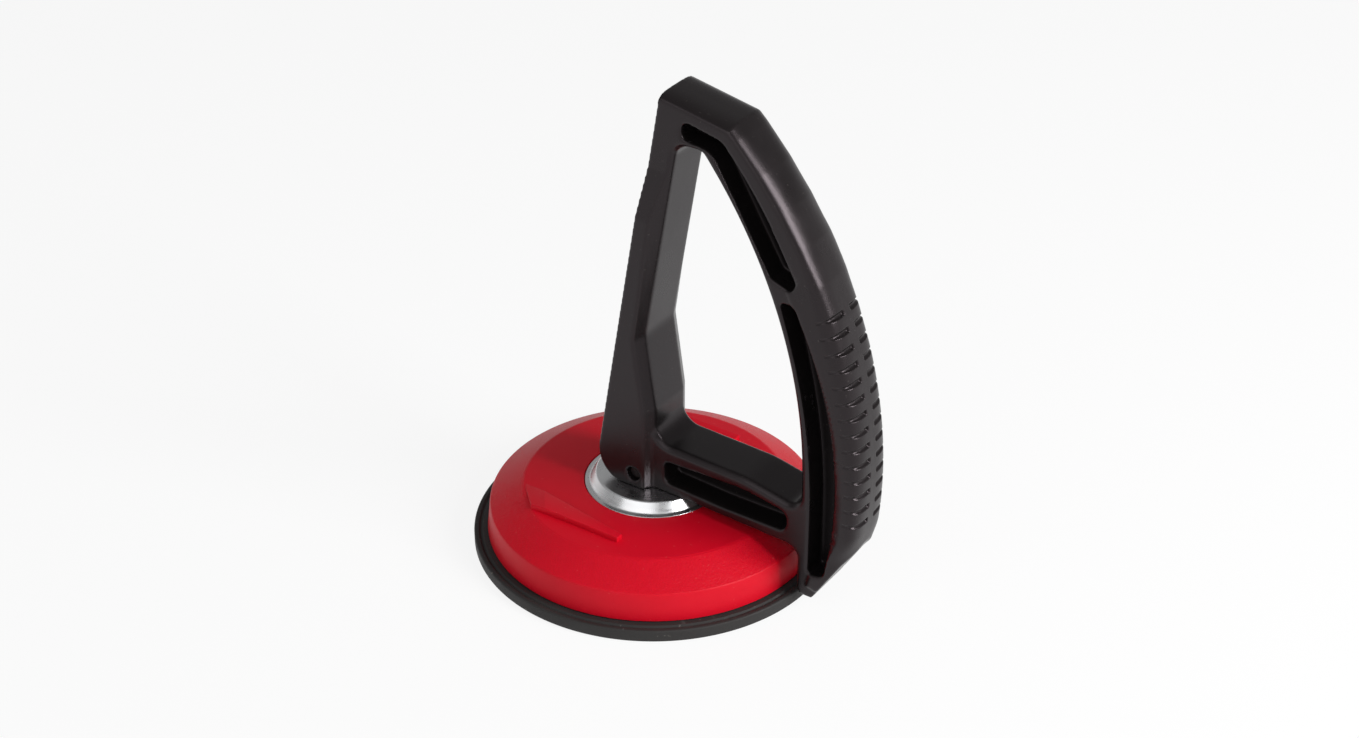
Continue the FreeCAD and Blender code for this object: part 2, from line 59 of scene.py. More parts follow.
# %% sizes read from the solids
MM = 0.001
pad_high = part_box("suction_pad")[1]
washer_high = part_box("thrust_washer")[1]
PAD_RADIUS = pad_high.x
PAD_TOP = pad_high.z
WASHER_TOP = washer_high.z
print("pad radius", round(PAD_RADIUS / MM, 2), "washer top", round(WASHER_TOP / MM, 2), "mm")

# %% [markdown]
# The camera stands to the right of the lever's pin axis and looks down on the disc at
# about 36 degrees, from one metre away. It is aimed a little above the disc so that the
# whole lever fits. A long lens keeps the lever from looking stretched.

# %% camera
CAMERA_AZIMUTH = 34.86
CAMERA_ELEVATION = 35.67
CAMERA_DISTANCE = 1.0
CAMERA_YAW = -0.625
CAMERA_PITCH = 3.863
CAMERA_ROLL = 0.411
LENS_MM = 63.2


def direction(azimuth, elevation):
    """Unit vector from the origin; azimuth 0 is -Y, and it turns towards +X."""
    a, e = math.radians(azimuth), math.radians(elevation)
    return Vector((math.sin(a) * math.cos(e), -math.cos(a) * math.cos(e), math.sin(e)))


def turned(vector, axis, degrees):
    return Matrix.Rotation(math.radians(degrees), 3, axis) @ vector


place = direction(CAMERA_AZIMUTH, CAMERA_ELEVATION)
ahead = -place
right = direction(CAMERA_AZIMUTH + 90, 0)
up = right.cross(ahead)
ahead, right = turned(ahead, up, CAMERA_YAW), turned(right, up, CAMERA_YAW)
ahead, up = turned(ahead, right, CAMERA_PITCH), turned(up, right, CAMERA_PITCH)
right, up = turned(right, ahead, CAMERA_ROLL), turned(up, ahead, CAMERA_ROLL)
camera_data = bpy.data.cameras.new("camera")
camera_data.lens = LENS_MM
camera_data.sensor_width = 36
camera_data.clip_start = 0.05
camera = bpy.data.objects.new("camera", camera_data)
bpy.context.scene.collection.objects.link(camera)
axes = Matrix((right, up, -ahead)).transposed().to_4x4()
camera.matrix_world = Matrix.Translation(place * CAMERA_DISTANCE) @ axes
bpy.context.scene.camera = camera
bpy.context.scene.view_settings.view_transform = "Standard"
print("camera at", [round(v, 4) for v in camera.matrix_world.translation])

# %% [markdown]
# A material is a network of nodes. These few helpers keep the network readable: `add`
# makes a node and sets or links its inputs by name, and `maths` does one sum. Effects
# that several finishes share are node groups, made once with named inputs and outputs.
# `surface` ends every finish with its colour, its roughness and its bump.

# %% node helpers
def put(tree, target, value):
    """Link a socket to the input, or set the input to a plain value."""
    if isinstance(value, bpy.types.NodeSocket):
        tree.links.new(value, target)
    else:
        target.default_value = value


def add(tree, kind, inputs=None, **settings):
    made = tree.nodes.new(kind)
    for key, value in settings.items():
        setattr(made, key, value)
    for key, value in (inputs or {}).items():
        put(tree, made.inputs[key], value)
    return made


def maths(tree, operation, *values):
    made = add(tree, "ShaderNodeMath", operation=operation)
    for i, value in enumerate(values):
        put(tree, made.inputs[i], value)
    return made.outputs[0]


def lowered(tree, value, mask, amount):
    """The value, less the amount where the mask is one."""
    return maths(tree, "SUBTRACT", value, maths(tree, "MULTIPLY", mask, amount))


def spread(tree, value, low, high, to_low=0.0, to_high=1.0):
    """Map a value smoothly from one range to another, held at both ends."""
    made = add(tree, "ShaderNodeMapRange", interpolation_type="SMOOTHSTEP", clamp=True)
    for i, item in enumerate((value, low, high, to_low, to_high)):
        put(tree, made.inputs[i], item)
    return made.outputs[0]


def blend_colour(tree, factor, first, second):
    made = add(tree, "ShaderNodeMix", data_type="RGBA")
    put(tree, made.inputs[0], factor)
    put(tree, made.inputs[6], first)
    put(tree, made.inputs[7], second)
    return made.outputs[2]


def position(tree):
    """Place on the object, in metres, in the lifter's own frame."""
    return add(tree, "ShaderNodeTexCoord").outputs["Object"]


def part_of(tree, vector, axis):
    return add(tree, "ShaderNodeSeparateXYZ", {0: vector}).outputs[axis]


def from_axis(tree):
    """Distance from the lifter's upright axis."""
    flat = add(tree, "ShaderNodeVectorMath", {0: position(tree), 1: (1, 1, 0)},
               operation="MULTIPLY")
    return add(tree, "ShaderNodeVectorMath", {0: flat.outputs[0]},
               operation="LENGTH").outputs["Value"]


def noise(tree, where, scale, detail=3.0, roughness=0.55):
    made = add(tree, "ShaderNodeTexNoise", {"Vector": where, "Scale": scale,
                                            "Detail": detail, "Roughness": roughness})
    return made.outputs["Fac"]


def new_group(name, inputs, outputs):
    """Empty node group with (socket type, name, default) inputs and (type, name) outputs."""
    group = bpy.data.node_groups.new(name, "ShaderNodeTree")
    sockets = group.interface
    for kind, label, default in inputs:
        socket = sockets.new_socket(name=label, in_out="INPUT", socket_type="NodeSocket" + kind)
        socket.default_value = default
    for kind, label in outputs:
        sockets.new_socket(name=label, in_out="OUTPUT", socket_type="NodeSocket" + kind)
    return group, add(group, "NodeGroupInput").outputs, add(group, "NodeGroupOutput").inputs


def use_group(tree, group, **inputs):
    made = tree.nodes.new("ShaderNodeGroup")
    made.node_tree = group
    for key, value in inputs.items():
        put(tree, made.inputs[key], value)
    return made.outputs


def new_material(name):
    """Material with nothing but a Principled shader, with its tree and that shader."""
    material = bpy.data.materials.new(name)
    material.use_nodes = True
    tree = material.node_tree
    tree.nodes.clear()
    shader = add(tree, "ShaderNodeBsdfPrincipled")
    output = add(tree, "ShaderNodeOutputMaterial")
    tree.links.new(shader.outputs[0], output.inputs["Surface"])
    return material, tree, shader


def surface(tree, shader, base, gloss, height, strength, depth):
    """Set what every finish has: a colour, a roughness and a bump, with its depth in mm."""
    bump = add(tree, "ShaderNodeBump",
               {"Height": height, "Strength": strength, "Distance": depth * MM})
    put(tree, shader.inputs["Base Color"], base)
    put(tree, shader.inputs["Roughness"], gloss)
    put(tree, shader.inputs["Normal"], bump.outputs[0])


print("node helpers ready")

# %% [markdown]
# Moulded parts are never perfectly even. The `grain` group gives a fine and a
# coarse noise in one height, for the pebbled skin that spark erosion leaves in a mould,
# and a slow mottle that shifts colour and gloss a little over the part.

# %% shared effect: grain
def make_grain():
    group, given, out = new_group(
        "grain",
        [("Float", "Fine", 2600.0), ("Float", "Coarse", 900.0), ("Float", "Share", 0.5),
         ("Float", "Mottle", 40.0)],
        [("Float", "Height"), ("Float", "Mottle")],
    )
    where = position(group)
    fine = noise(group, where, given["Fine"], 2.0)
    coarse = noise(group, where, given["Coarse"], 2.0)
    mixed = add(group, "ShaderNodeMix", data_type="FLOAT")
    put(group, mixed.inputs[0], given["Share"])
    put(group, mixed.inputs[2], fine)
    put(group, mixed.inputs[3], coarse)
    put(group, out["Height"], mixed.outputs[0])
    put(group, out["Mottle"], noise(group, where, given["Mottle"], 4.0, 0.6))
    return group


grain = make_grain()
print("group", grain.name, "ready")

# %% [markdown]
# Handling polishes the outer edges of a part. Pointiness tells ridges from creases:
# it is above one half on ridges and below it in creases. This group turns it into two
# masks, broken up with noise: worn edges, and painted shade for the creases.

# %% shared effect: wear and painted shade
WEAR_RANGE = 0.08


def make_wear_and_shade():
    group, given, out = new_group(
        "wear_and_shade",
        [("Float", "Ridge", 0.56), ("Float", "Crease", 0.46), ("Float", "Breakup", 300.0)],
        [("Float", "Edge"), ("Float", "Painted Shade")],
    )
    point = add(group, "ShaderNodeNewGeometry").outputs["Pointiness"]
    broken = noise(group, position(group), given["Breakup"], 4.0, 0.65)
    uneven = spread(group, broken, 0.3, 0.7, 0.35, 1.0)
    sharp = maths(group, "ADD", given["Ridge"], WEAR_RANGE)
    hollow = maths(group, "SUBTRACT", given["Crease"], WEAR_RANGE)
    ridge = spread(group, point, given["Ridge"], sharp)
    crease = spread(group, point, given["Crease"], hollow)
    put(group, out["Edge"], maths(group, "MULTIPLY", ridge, uneven))
    # The crease mask is painted shade: the finishes darken their colour with it in creases and
    # corners.
    put(group, out["Painted Shade"], maths(group, "MULTIPLY", crease, uneven))
    return group


wear_and_shade = make_wear_and_shade()
print("group", wear_and_shade.name, "ready")

# %% [markdown]
# Fine marks show on metal and plastic: hairline scratches and a few specks of dust. The
# `marks` group stretches noise one way for the scratches and keeps only the peaks of a
# second noise for the specks.

# %% shared effect: marks
def make_marks():
    group, given, out = new_group(
        "marks",
        [("Float", "Scratches", 220.0), ("Float", "Specks", 700.0)],
        [("Float", "Scratch"), ("Float", "Speck")],
    )
    where = position(group)
    long_way = add(group, "ShaderNodeMapping", {"Vector": where, "Rotation": (0.4, 0.9, 0.3),
                                                "Scale": (0.06, 1.0, 1.0)}).outputs[0]
    line = noise(group, long_way, given["Scratches"], 6.0, 0.8)
    dust = noise(group, where, given["Specks"], 1.0, 0.4)
    put(group, out["Scratch"], spread(group, line, 0.62, 0.72))
    put(group, out["Speck"], spread(group, dust, 0.74, 0.8))
    return group


marks = make_marks()
print("group", marks.name, "ready")

# %% [markdown]
# The lever is moulded in one piece from black satin plastic. Its skin is slightly pebbled
# and a bit warm in colour. It is glossier along the ridges, where hands rub it, and its
# colour is darker in the corners, which is painted shade. The pocket floors mirror less:
# they are the faces that look sideways and lie deep between the lever's two sides.

# %% finish: black moulded plastic
POCKET_FROM = 7.0
POCKET_TO = 9.0
SKIN_MIRROR = 0.34
POCKET_MIRROR = 0.08


def make_handle_black():
    material, tree, shader = new_material("handle_black")
    skin = use_group(tree, grain, Fine=3200.0, Coarse=1300.0, Share=0.4, Mottle=55.0)
    rub_and_shade = use_group(tree, wear_and_shade, Ridge=0.53, Crease=0.47, Breakup=260.0)
    fine = use_group(tree, marks, Scratches=160.0, Specks=900.0)
    base = blend_colour(tree, skin["Mottle"],
                        (0.0055, 0.0046, 0.0046, 1), (0.0085, 0.0070, 0.0072, 1))
    base = blend_colour(tree, rub_and_shade["Edge"], base, (0.022, 0.020, 0.021, 1))
    # Painted shade: the colour is darker in creases and corners.
    base = blend_colour(tree, rub_and_shade["Painted Shade"], base, (0.004, 0.0035, 0.0035, 1))
    dust = maths(tree, "MULTIPLY", fine["Speck"], 0.5)
    base = blend_colour(tree, dust, base, (0.06, 0.055, 0.05, 1))
    gloss = spread(tree, skin["Mottle"], 0.3, 0.7, 0.27, 0.33)
    gloss = lowered(tree, gloss, rub_and_shade["Edge"], 0.06)
    gloss = lowered(tree, gloss, fine["Scratch"], 0.05)
    surface(tree, shader, base, gloss, skin["Height"], 0.12, 0.2)
    normal = add(tree, "ShaderNodeNewGeometry").outputs["Normal"]
    sideways = maths(tree, "ABSOLUTE", part_of(tree, normal, "Y"))
    from_middle = maths(tree, "ABSOLUTE", part_of(tree, position(tree), "Y"))
    sunk = spread(tree, from_middle, POCKET_FROM * MM, POCKET_TO * MM, 1.0, 0.0)
    pocket_floor = maths(tree, "MULTIPLY", spread(tree, sideways, 0.7, 0.9), sunk)
    mirror = spread(tree, pocket_floor, 0.0, 1.0, SKIN_MIRROR, POCKET_MIRROR)
    put(tree, shader.inputs["Specular IOR Level"], mirror)
    shader.inputs["Specular Tint"].default_value = (1.0, 0.86, 0.92, 1)
    return material


handle_black = make_handle_black()
print("finish", handle_black.name)

# %% [markdown]
# The cover is moulded in red plastic. Its sloped ring has a spark-eroded texture that
# glints, while the ledge and the cone are smoother. Red plastic glows a little from
# inside, so some light is let in under the skin. Painted shade darkens the red in creases.

# %% finish: red moulded plastic
SPARKED_FROM = 54.5
SPARKED_TO = 67.5
SPARKED_BLEND = 0.6


def make_cover_red():
    material, tree, shader = new_material("cover_red")
    skin = use_group(tree, grain, Fine=1900.0, Coarse=800.0, Share=0.45, Mottle=30.0)
    rub_and_shade = use_group(tree, wear_and_shade, Ridge=0.53, Crease=0.47, Breakup=200.0)
    fine = use_group(tree, marks, Scratches=140.0, Specks=600.0)
    radius = from_axis(tree)
    inner = spread(tree, radius, (SPARKED_FROM - SPARKED_BLEND) * MM, SPARKED_FROM * MM)
    outer = spread(tree, radius, SPARKED_TO * MM, (SPARKED_TO + SPARKED_BLEND) * MM, 1.0, 0.0)
    sparked = maths(tree, "MULTIPLY", inner, outer)
    base = blend_colour(tree, skin["Mottle"],
                        (0.56, 0.0010, 0.012, 1), (0.64, 0.0020, 0.016, 1))
    # Painted shade: the red is darker in creases and corners.
    base = blend_colour(tree, rub_and_shade["Painted Shade"], base, (0.25, 0.004, 0.006, 1))
    dust = maths(tree, "MULTIPLY", fine["Speck"], 0.08)
    base = blend_colour(tree, dust, base, (0.75, 0.35, 0.3, 1))
    gloss = spread(tree, sparked, 0.0, 1.0, 0.42, 0.38)
    gloss = maths(tree, "ADD", gloss, maths(tree, "MULTIPLY", skin["Mottle"], 0.06))
    gloss = lowered(tree, gloss, fine["Scratch"], 0.06)
    depth = spread(tree, sparked, 0.0, 1.0, 0.15, 0.9)
    height = maths(tree, "MULTIPLY", skin["Height"], depth)
    surface(tree, shader, base, gloss, height, 0.8, 0.4)
    shader.inputs["Specular IOR Level"].default_value = 0.2
    shader.inputs["Subsurface Weight"].default_value = 0.08
    shader.inputs["Subsurface Radius"].default_value = (0.004, 0.0006, 0.0004)
    shader.inputs["Subsurface Scale"].default_value = 1.0
    return material


cover_red = make_cover_red()
print("finish", cover_red.name)

# %% [markdown]
# The pad is soft rubber, matte and slightly dusty. It has a fine pebble and small
# differences in grey where it has been touched. Painted shade darkens it in creases.

# %% finish: rubber
def make_pad_rubber():
    material, tree, shader = new_material("pad_rubber")
    skin = use_group(tree, grain, Fine=2400.0, Coarse=700.0, Share=0.4, Mottle=45.0)
    rub_and_shade = use_group(tree, wear_and_shade, Ridge=0.52, Crease=0.48, Breakup=240.0)
    fine = use_group(tree, marks, Scratches=120.0, Specks=500.0)
    base = blend_colour(tree, skin["Mottle"],
                        (0.013, 0.012, 0.012, 1), (0.024, 0.022, 0.021, 1))
    base = blend_colour(tree, rub_and_shade["Edge"], base, (0.05, 0.047, 0.045, 1))
    # Painted shade: the grey is darker in creases and corners.
    base = blend_colour(tree, rub_and_shade["Painted Shade"], base, (0.006, 0.0055, 0.005, 1))
    dust = maths(tree, "MULTIPLY", fine["Speck"], 0.6)
    base = blend_colour(tree, dust, base, (0.12, 0.11, 0.10, 1))
    gloss = spread(tree, skin["Mottle"], 0.3, 0.7, 0.58, 0.7)
    surface(tree, shader, base, gloss, skin["Height"], 0.25, 0.3)
    shader.inputs["Specular IOR Level"].default_value = 0.4
    return material


pad_rubber = make_pad_rubber()
print("finish", pad_rubber.name)

# %% [markdown]
# The washer is pressed from sheet steel and zinc plated, and the stem, nut and pin are
# turned steel. Pressing and turning both leave rings round the axis, so the roughness
# and the bump follow the distance from it. Zinc clouds over in patches. The pin is
# blackened, so it takes a much darker colour. Painted shade darkens every metal in its creases.

# %% finish: metals
CREASE_SHADE_SHARE = 0.35
RING_SHARE = 0.6


def make_metal(name, pale, dark, rough, rings):
    material, tree, shader = new_material(name)
    skin = use_group(tree, grain, Fine=2800.0, Coarse=420.0, Share=0.6, Mottle=120.0)
    rub_and_shade = use_group(tree, wear_and_shade, Ridge=0.53, Crease=0.47, Breakup=320.0)
    fine = use_group(tree, marks, Scratches=320.0, Specks=800.0)
    ring_at = add(tree, "ShaderNodeCombineXYZ", {"X": from_axis(tree)}).outputs[0]
    ring = noise(tree, ring_at, rings, 4.0, 0.7)
    base = blend_colour(tree, skin["Mottle"], dark, pale)
    # Painted shade: the colour is darker in creases and corners.
    base = blend_colour(tree, rub_and_shade["Painted Shade"], base, tuple(CREASE_SHADE_SHARE * c for c in dark[:3]) + (1,))
    gloss = spread(tree, skin["Mottle"], 0.3, 0.7, rough - 0.05, rough + 0.07)
    gloss = maths(tree, "ADD", gloss, spread(tree, ring, 0.3, 0.7, -0.04, 0.04))
    gloss = lowered(tree, gloss, fine["Scratch"], 0.06)
    turned_rings = maths(tree, "MULTIPLY", ring, RING_SHARE)
    pebble = maths(tree, "MULTIPLY", skin["Height"], 1 - RING_SHARE)
    surface(tree, shader, base, gloss, maths(tree, "ADD", turned_rings, pebble), 0.12, 0.2)
    shader.inputs["Metallic"].default_value = 1.0
    return material


zinc_steel = make_metal(
    "zinc_steel", (0.84, 0.845, 0.85, 1), (0.62, 0.63, 0.65, 1), 0.27, 900.0)
stem_steel = make_metal(
    "stem_steel", (0.42, 0.42, 0.43, 1), (0.30, 0.30, 0.31, 1), 0.28, 1400.0)
pin_steel = make_metal(
    "pin_steel", (0.045, 0.04, 0.04, 1), (0.02, 0.018, 0.018, 1), 0.45, 1400.0)
print("finishes", zinc_steel.name, stem_steel.name, pin_steel.name)

# %% [markdown]
# The bush is a pale, self-coloured plastic that slides well. It is hidden under the
# washer, so it needs no wear.

# %% finish: bush plastic
def make_bush_plastic():
    material, tree, shader = new_material("bush_plastic")
    skin = use_group(tree, grain, Fine=2600.0, Coarse=900.0, Share=0.4, Mottle=60.0)
    base = blend_colour(tree, skin["Mottle"], (0.50, 0.49, 0.45, 1), (0.60, 0.59, 0.55, 1))
    gloss = spread(tree, skin["Mottle"], 0.3, 0.7, 0.42, 0.52)
    surface(tree, shader, base, gloss, skin["Height"], 0.1, 0.2)
    return material


bush_plastic = make_bush_plastic()
print("finish", bush_plastic.name)

# %% [markdown]
# The turned and pressed pieces are all rings about the upright axis. `ring_piece` sweeps
# a section round that axis. `softened` first rounds each corner of the section with a
# small arc, because the thin bright line along an edge is what makes it look real.

# %% helpers for meshes
RING_STEPS = 320
CORNER_STEPS = 5
LONGEST_ROUNDING = 0.45


def softened(corners):
    """Points of a closed section whose (radius, height, rounding) corners are in mm."""
    points = []
    for i, (across, up_to, rounding) in enumerate(corners):
        here = Vector((across, up_to))
        if rounding <= 0:
            points.append(here)
            continue
        to_last = Vector(corners[i - 1][:2]) - here
        to_next = Vector(corners[(i + 1) % len(corners)][:2]) - here
        half = to_last.angle(to_next) / 2
        longest = LONGEST_ROUNDING * min(to_last.length, to_next.length)
        reach = min(rounding / math.tan(half), longest)
        u, w = to_last.normalized(), to_next.normalized()
        centre = here + (u + w).normalized() * (reach * math.tan(half) / math.sin(half))
        start, end = here + u * reach - centre, here + w * reach - centre
        turn = start.angle_signed(end)
        for k in range(CORNER_STEPS + 1):
            points.append(centre + Matrix.Rotation(-turn * k / CORNER_STEPS, 2) @ start)
    return points


def link_mesh(name, mesh):
    piece = bpy.data.objects.new(name, mesh)
    bpy.context.scene.collection.objects.link(piece)
    return piece


def edited(mesh, job):
    """Run one job on the mesh's points, edges and faces."""
    bm = bmesh.new()
    bm.from_mesh(mesh)
    job(bm)
    bm.to_mesh(mesh)
    bm.free()


def face_outwards(bm):
    bmesh.ops.recalc_face_normals(bm, faces=bm.faces)


def ring_piece(name, corners):
    """Closed ring about the Z axis with a softened section."""
    section = [p * MM for p in softened(corners)]
    count = len(section)
    total = RING_STEPS * count
    verts = []
    faces = []
    for i in range(RING_STEPS):
        a = 2 * math.pi * i / RING_STEPS
        verts += [(p.x * math.cos(a), p.x * math.sin(a), p.y) for p in section]
        for k in range(count):
            here, beside = i * count + k, i * count + (k + 1) % count
            faces.append((here, beside, (beside + count) % total, (here + count) % total))
    mesh = bpy.data.meshes.new(name)
    mesh.from_pydata(verts, [], faces)
    mesh.shade_smooth()
    edited(mesh, face_outwards)
    return link_mesh(name, mesh)


def applied(piece):
    """Replace the piece's mesh by what its modifiers make of it."""
    bpy.context.view_layer.update()
    graph = bpy.context.evaluated_depsgraph_get()
    mesh = bpy.data.meshes.new_from_object(piece.evaluated_get(graph))
    piece.modifiers.clear()
    piece.data = mesh
    return mesh


def finish_piece(piece, material, body, node):
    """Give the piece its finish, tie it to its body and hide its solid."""
    piece.data.materials.clear()
    piece.data.materials.append(material)
    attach(piece, body)
    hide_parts(node)
    print(piece.name, len(piece.data.polygons), "faces, rides on", body)


# %% [markdown]
# The rubber pad is a thick disc, hollow underneath, with a flat sealing lip. A thin
# groove runs round its top close to the edge.

# %% rubber pad
PAD_LIP = 14.0
PAD_HOLLOW = 1.2
PLATE_ROOM = 22.3
PLATE_BED = 3.0
GROOVE_RADIUS = 72.2
GROOVE_WIDTH = 0.9
radius, top = PAD_RADIUS / MM, PAD_TOP / MM
pad = ring_piece("rubber_pad", [
    (0.01, PAD_HOLLOW, 0), (radius - PAD_LIP - 2.4, PAD_HOLLOW, 1.5), (radius - PAD_LIP, 0, 0.8),
    (radius, 0, 0.7), (radius, top, 1.3), (GROOVE_RADIUS + GROOVE_WIDTH, top, 0.3),
    (GROOVE_RADIUS, top - 0.8, 0.3), (GROOVE_RADIUS - GROOVE_WIDTH, top, 0.3),
    (PLATE_ROOM + 0.9, top, 0.3), (PLATE_ROOM, top - 0.3, 0.1), (PLATE_ROOM, PLATE_BED, 0.3),
    (0.01, PLATE_BED, 0),
])
finish_piece(pad, pad_rubber, "base", "suction_pad")

# %% [markdown]
# The cover is a shallow dish turned upside down: a drafted side wall, a sloped ring, a
# crease, and a shallow cone that rises to the recess of the washer. The hub under it is
# made too, but the solid's thin ribs, which are out of sight, are left out.

# %% cover shell
RIM = 69.3
SHOULDER = (68.0, 17.7)
CREASE = (53.7, 25.3)
CROWN_TOP = 27.0
COVER_WALL = 2.6
SEAT = (28.9, 25.2)
BUSH_HOLE = 9.48
HUB = (13.5, 21.0)
RIM_FOOT = top + 0.3
cover_shell = ring_piece("cover_shell", [
    (RIM - COVER_WALL, RIM_FOOT, 0.3), (RIM, RIM_FOOT, 0.4), SHOULDER + (1.0,), CREASE + (1.6,),
    (SEAT[0], CROWN_TOP, 0.35), SEAT + (0.2,), (BUSH_HOLE, SEAT[1], 0.1),
    (BUSH_HOLE, HUB[1], 0.2), HUB + (0.3,),
    (HUB[0], SEAT[1] - COVER_WALL, 1.0), (CREASE[0], SEAT[1] - COVER_WALL, 1.0),
    (SHOULDER[0] - COVER_WALL, SHOULDER[1] - 1.6, 1.0),
])
print("cover shell", len(cover_shell.data.vertices), "points")

# %% [markdown]
# Two raised bars stand on the cone. They are straight-sided, so they are made as blocks,
# trimmed by one plane along the tail and one behind the top, bevelled, and then united
# with the shell.

# %% guide bars on the cover
BAR_END_X = 13.0
BAR_FRONT = 44.7
BAR_BACK = 41.0
BAR_TAIL = 31.0
BAR_RISE = 2.9
BAR_EDGE = 0.45
BAR_SUNK = 1.3
BAR_DROP = 0.4
RAMP_RUN = 6.0
BACK_RISE = 1.0
BACK_RUN = 4.0


def cut_away(bm, point, normal):
    """Remove what lies on the normal's side of a plane and close the cut."""
    geometry = bm.verts[:] + bm.edges[:] + bm.faces[:]
    cut = bmesh.ops.bisect_plane(
        bm, geom=geometry, plane_co=Vector(point) * MM, plane_no=normal, clear_outer=True)
    rim = [e for e in cut["geom_cut"] if isinstance(e, bmesh.types.BMEdge)]
    bmesh.ops.holes_fill(bm, edges=rim)


def guide_bar(side):
    """Bar on the side of +Y (1) or -Y (-1), with a tail that ramps down to the crease."""
    tail, tail_in = (math.sqrt(CREASE[0] ** 2 - y ** 2) for y in (BAR_FRONT, BAR_TAIL))
    plan = [(BAR_END_X, BAR_FRONT), (-tail, BAR_FRONT), (-tail_in, BAR_TAIL),
            (BAR_END_X, BAR_BACK)]
    bar_top = CREASE[1] + BAR_RISE
    foot = CREASE[1] - BAR_SUNK
    bm = bmesh.new()
    floor = bm.faces.new([bm.verts.new((x * MM, side * y * MM, foot * MM)) for x, y in plan])
    for made in bmesh.ops.extrude_face_region(bm, geom=[floor])["geom"]:
        if isinstance(made, bmesh.types.BMVert):
            made.co.z = bar_top * MM
    cut_away(bm, (1 - tail_in, 0, CREASE[1]), (-BAR_RISE, 0, tail_in - tail + RAMP_RUN))
    lean = side * (BAR_RISE - BAR_DROP - BACK_RISE) / (BAR_BACK - BAR_TAIL + BACK_RUN)
    cut_away(bm, (0, side * BAR_BACK, bar_top - BAR_DROP), (0, -lean, 1))
    face_outwards(bm)
    bmesh.ops.bevel(bm, geom=bm.edges[:], offset=BAR_EDGE * MM, segments=3, affect="EDGES",
                    profile=0.6)
    mesh = bpy.data.meshes.new("bar")
    bm.to_mesh(mesh)
    bm.free()
    return link_mesh("bar", mesh)


def unite(piece, others):
    """Join solids into the piece, removing what lies inside."""
    for other in others:
        union = piece.modifiers.new("union", "BOOLEAN")
        union.operation = "UNION"
        union.solver = "EXACT"
        union.object = other
        applied(piece)
        bpy.data.objects.remove(other)


unite(cover_shell, [guide_bar(1), guide_bar(-1)])
cover_shell.data.shade_smooth()
cover_shell.data.set_sharp_from_angle(angle=math.radians(35))
finish_piece(cover_shell, cover_red, "base", "cover")

# %% [markdown]
# The washer is pressed from sheet: a flat flange sunk in the cover, a steep wall and a
# flat top on which the lever's foot rubs.

# %% thrust washer
WASHER = 28.6
WALL_FOOT = 26.6
WALL_TOP = 23.8
WASHER_BORE = 7.38
SHEET = 1.6
flange_top = SEAT[1] + SHEET
washer_top = WASHER_TOP / MM
washer = ring_piece("pressed_washer", [
    (WASHER_BORE, washer_top - SHEET, 0.2), (WASHER_BORE, washer_top, 0.3),
    (WALL_TOP, washer_top, 1.2), (WALL_FOOT, flange_top, 1.0),
    (WASHER, flange_top, 0.35), (WASHER, SEAT[1], 0.2),
    (WALL_FOOT - SHEET, SEAT[1], 0.8), (WALL_TOP - SHEET, washer_top - SHEET, 0.6),
])
finish_piece(washer, zinc_steel, "base", "thrust_washer")

# %% [markdown]
# The lever is one moulding with softened edges everywhere. Its solid already has the right
# form, with sharp corners. A voxel remesh turns a copy of it into an even skin, and
# relaxing that skin rounds the corners as a mould does. The skin is made finer on the
# grip's back, where the finger grooves go.

# %% lever skin
LEVER_VOXEL = 0.55
RELAX_ROUNDS = 3
CREST_CENTRE = (-96.1, 60.8)
CREST_RADIUS = 198.5
MITRE_ANGLE = 45.7
TOP_FALL = 10.85
FINE_ANGLES = (-6.5, 24.5)
FINE_DEPTHS = (-3, 11)


def points_of(mesh):
    co = np.empty(len(mesh.vertices) * 3)
    mesh.vertices.foreach_get("co", co)
    return co.reshape(-1, 3) / MM


def set_points(mesh, co):
    mesh.vertices.foreach_set("co", (co * MM).ravel())
    mesh.update()


def round_crest(co):
    """Angle round the crest arc in degrees, and depth below it."""
    x, z = co[:, 0] - CREST_CENTRE[0], co[:, 2] - CREST_CENTRE[1]
    return np.degrees(np.arctan2(z, x)), CREST_RADIUS - np.hypot(x, z)


def relax(mesh, rounds):
    """Even out a mesh: each point moves half way to the middle of its neighbours."""
    count = len(mesh.vertices)
    edges = np.empty(len(mesh.edges) * 2, np.int32)
    mesh.edges.foreach_get("vertices", edges)
    a, b = edges[0::2], edges[1::2]
    degree = np.bincount(a, minlength=count) + np.bincount(b, minlength=count)
    co = points_of(mesh)
    for _ in range(rounds):
        total = np.empty_like(co)
        for axis in range(3):
            column = co[:, axis]
            total[:, axis] = (np.bincount(a, column[b], count)
                              + np.bincount(b, column[a], count))
        co += 0.5 * (total / np.maximum(degree, 1)[:, None] - co)
    set_points(mesh, co)


def merge_points(bm):
    bmesh.ops.remove_doubles(bm, verts=bm.verts, dist=1e-6)


def lever_skin():
    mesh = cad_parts["handle"].data.copy()
    mesh.name = "lever"
    edited(mesh, merge_points)
    lever = link_mesh("lever", mesh)
    skin = lever.modifiers.new("skin", "REMESH")
    skin.mode = "VOXEL"
    skin.voxel_size = LEVER_VOXEL * MM
    applied(lever)
    relax(lever.data, RELAX_ROUNDS)
    angle, depth = round_crest(points_of(lever.data))
    back = ((angle > FINE_ANGLES[0]) & (angle < FINE_ANGLES[1])
            & (depth > FINE_DEPTHS[0]) & (depth < FINE_DEPTHS[1]))

    def refine(bm):
        bm.verts.ensure_lookup_table()
        edges = [e for e in bm.edges if back[e.verts[0].index] and back[e.verts[1].index]]
        bmesh.ops.subdivide_edges(bm, edges=edges, cuts=1, use_grid_fill=True)

    edited(lever.data, refine)
    return lever


lever = lever_skin()
print("lever skin", len(lever.data.vertices), "points")

# %% [markdown]
# The crown of the solid is a plain arc. On the real lever its shoulders are fuller, like
# a squared oval, and most so low on the grip. Each point of the crown keeps its share of
# the way from the crest to the side edge, and moves from the arc to the oval. Top bar and
# grip share the rule, so that they still meet in a clean mitre. Points that aren't on the
# crown hold still: the further a point is from the arc, the less it moves. Pairs of
# angles say where, round the crest, a size begins and ends to change.

